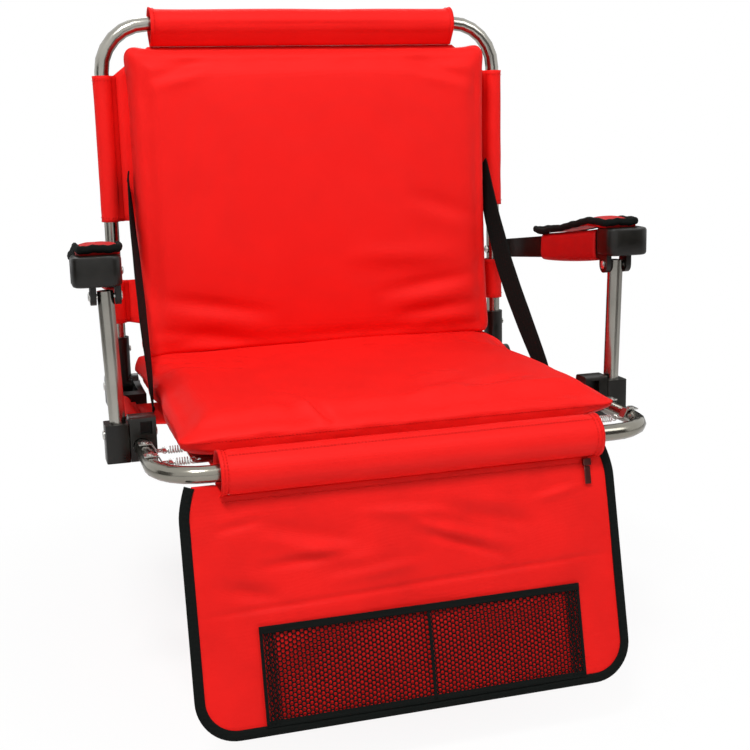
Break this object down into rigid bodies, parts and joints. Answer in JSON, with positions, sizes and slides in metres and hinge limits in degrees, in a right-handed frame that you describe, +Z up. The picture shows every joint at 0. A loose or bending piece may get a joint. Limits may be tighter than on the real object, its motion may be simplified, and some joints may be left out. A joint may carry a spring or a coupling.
{
  "type": "folding stadium chair",
  "caption": "Folding padded seat for a bleacher bench: tube seat and back frames on plastic hinge feet, folding arms on posts, sewn cushions, stay straps, edge springs and a hanging flap with a mesh pocket",
  "frame": {"origin": "on the bench's top face, under the axis of the back hinge, midway between the two rear feet", "axes": "+Z up, the sitter faces -Y, +X to the right of someone looking along +Y"},
  "size_m": [0.593, 0.467, 0.6592],
  "materials": {
    "polished_aluminium": "drawn tube, polished",
    "bright_steel": "zinc plated",
    "black_plastic": "moulded, fine grain",
    "red_cloth": "coated polyester, plain weave",
    "black_webbing": "woven tape",
    "black_net": "knitted mesh"
  },
  "bodies": {
    "seat": {"seat_frame": "polished_aluminium", "seat_sling": "red_cloth", "front_sleeve": "red_cloth", "seat_cushion": "red_cloth", "rear_foot_left": "black_plastic", "rear_foot_right": "black_plastic", "hinge_pin_left": "bright_steel", "hinge_pin_right": "bright_steel", "rail_clamp_left": "black_plastic", "rail_clamp_right": "black_plastic", "post_pin_left": "bright_steel", "post_pin_right": "bright_steel", "seat_band_left": "red_cloth", "seat_band_right": "red_cloth", "corner_webbing_left": "black_webbing", "corner_webbing_right": "black_webbing", "edge_plate_left": "bright_steel", "edge_plate_right": "bright_steel", "back_strap_left": "black_webbing", "back_strap_right": "black_webbing", "spring_left_1": "bright_steel", "spring_left_2": "bright_steel", "spring_right_1": "bright_steel", "spring_right_2": "bright_steel", "spring_tab_left_1": "bright_steel", "spring_tab_left_2": "bright_steel", "spring_tab_right_1": "bright_steel", "spring_tab_right_2": "bright_steel"},
    "back": {"back_frame": "polished_aluminium", "back_sling": "red_cloth", "top_sleeve": "red_cloth", "back_cushion": "red_cloth", "back_socket_left": "black_plastic", "back_socket_right": "black_plastic", "cross_rivet_left": "bright_steel", "cross_rivet_right": "bright_steel", "arm_pin_left": "bright_steel", "arm_pin_right": "bright_steel", "upper_sleeve_left": "red_cloth", "upper_sleeve_right": "red_cloth", "lower_tab_left": "red_cloth", "lower_tab_right": "red_cloth"},
    "arm_left_body": {"arm_left": "black_plastic", "arm_cover_left": "red_cloth", "arm_pad_left": "red_cloth", "post_top_rivet_left": "bright_steel"},
    "arm_right_body": {"arm_right": "black_plastic", "arm_cover_right": "red_cloth", "arm_pad_right": "red_cloth", "post_top_rivet_right": "bright_steel"},
    "post_left_body": {"post_left": "polished_aluminium", "post_socket_left": "black_plastic"},
    "post_right_body": {"post_right": "polished_aluminium", "post_socket_right": "black_plastic"},
    "flap": {"front_flap": "red_cloth", "flap_binding": "black_webbing", "pocket_net": "black_net"},
    "slider": {"zip_slider": "bright_steel"},
    "pull": {"zip_pull": "bright_steel"}
  },
  "joints": [
    {"name": "back_fold", "type": "hinge", "parent": "seat", "child": "back", "pos_m": [0, 0, 0.021], "axis": [1, 0, 0], "range_deg": [0, 75], "deforming": ["back_strap_left", "back_strap_right", "seat_cushion", "back_cushion"]},
    {"name": "arm_fold_left", "type": "hinge", "parent": "back", "child": "arm_left_body", "pos_m": [-0.25, 0, 0.1554], "axis": [1, 0, 0], "range_deg": [-75, 0]},
    {"name": "post_fold_left", "type": "hinge", "parent": "seat", "child": "post_left_body", "pos_m": [-0.2625, -0.262, 0.0272], "axis": [1, 0, 0], "range_deg": [0, 75]},
    {"name": "arm_fold_right", "type": "hinge", "parent": "back", "child": "arm_right_body", "pos_m": [0.25, 0, 0.1554], "axis": [1, 0, 0], "range_deg": [-75, 0]},
    {"name": "post_fold_right", "type": "hinge", "parent": "seat", "child": "post_right_body", "pos_m": [0.2625, -0.262, 0.0272], "axis": [1, 0, 0], "range_deg": [0, 75]},
    {"name": "flap_swing", "type": "hinge", "parent": "seat", "child": "flap", "pos_m": [-0.0175, -0.395, 0.016], "axis": [-1, 0, 0], "range_deg": [-13, 150]},
    {"name": "zip_slide", "type": "slide", "parent": "flap", "child": "slider", "axis": [1, 0, 0], "range_m": [-0.34, 0]},
    {"name": "zip_pull_swing", "type": "hinge", "parent": "slider", "child": "pull", "pos_m": [0.164, -0.40511, -0.01266], "axis": [-1, 0, 0], "range_deg": [0, 95]}
  ],
  "couplings": [
    {"joint": "arm_fold_left", "follows": "back_fold", "ratio": -1},
    {"joint": "post_fold_left", "follows": "back_fold", "ratio": 1},
    {"joint": "arm_fold_right", "follows": "back_fold", "ratio": -1},
    {"joint": "post_fold_right", "follows": "back_fold", "ratio": 1}
  ]
}
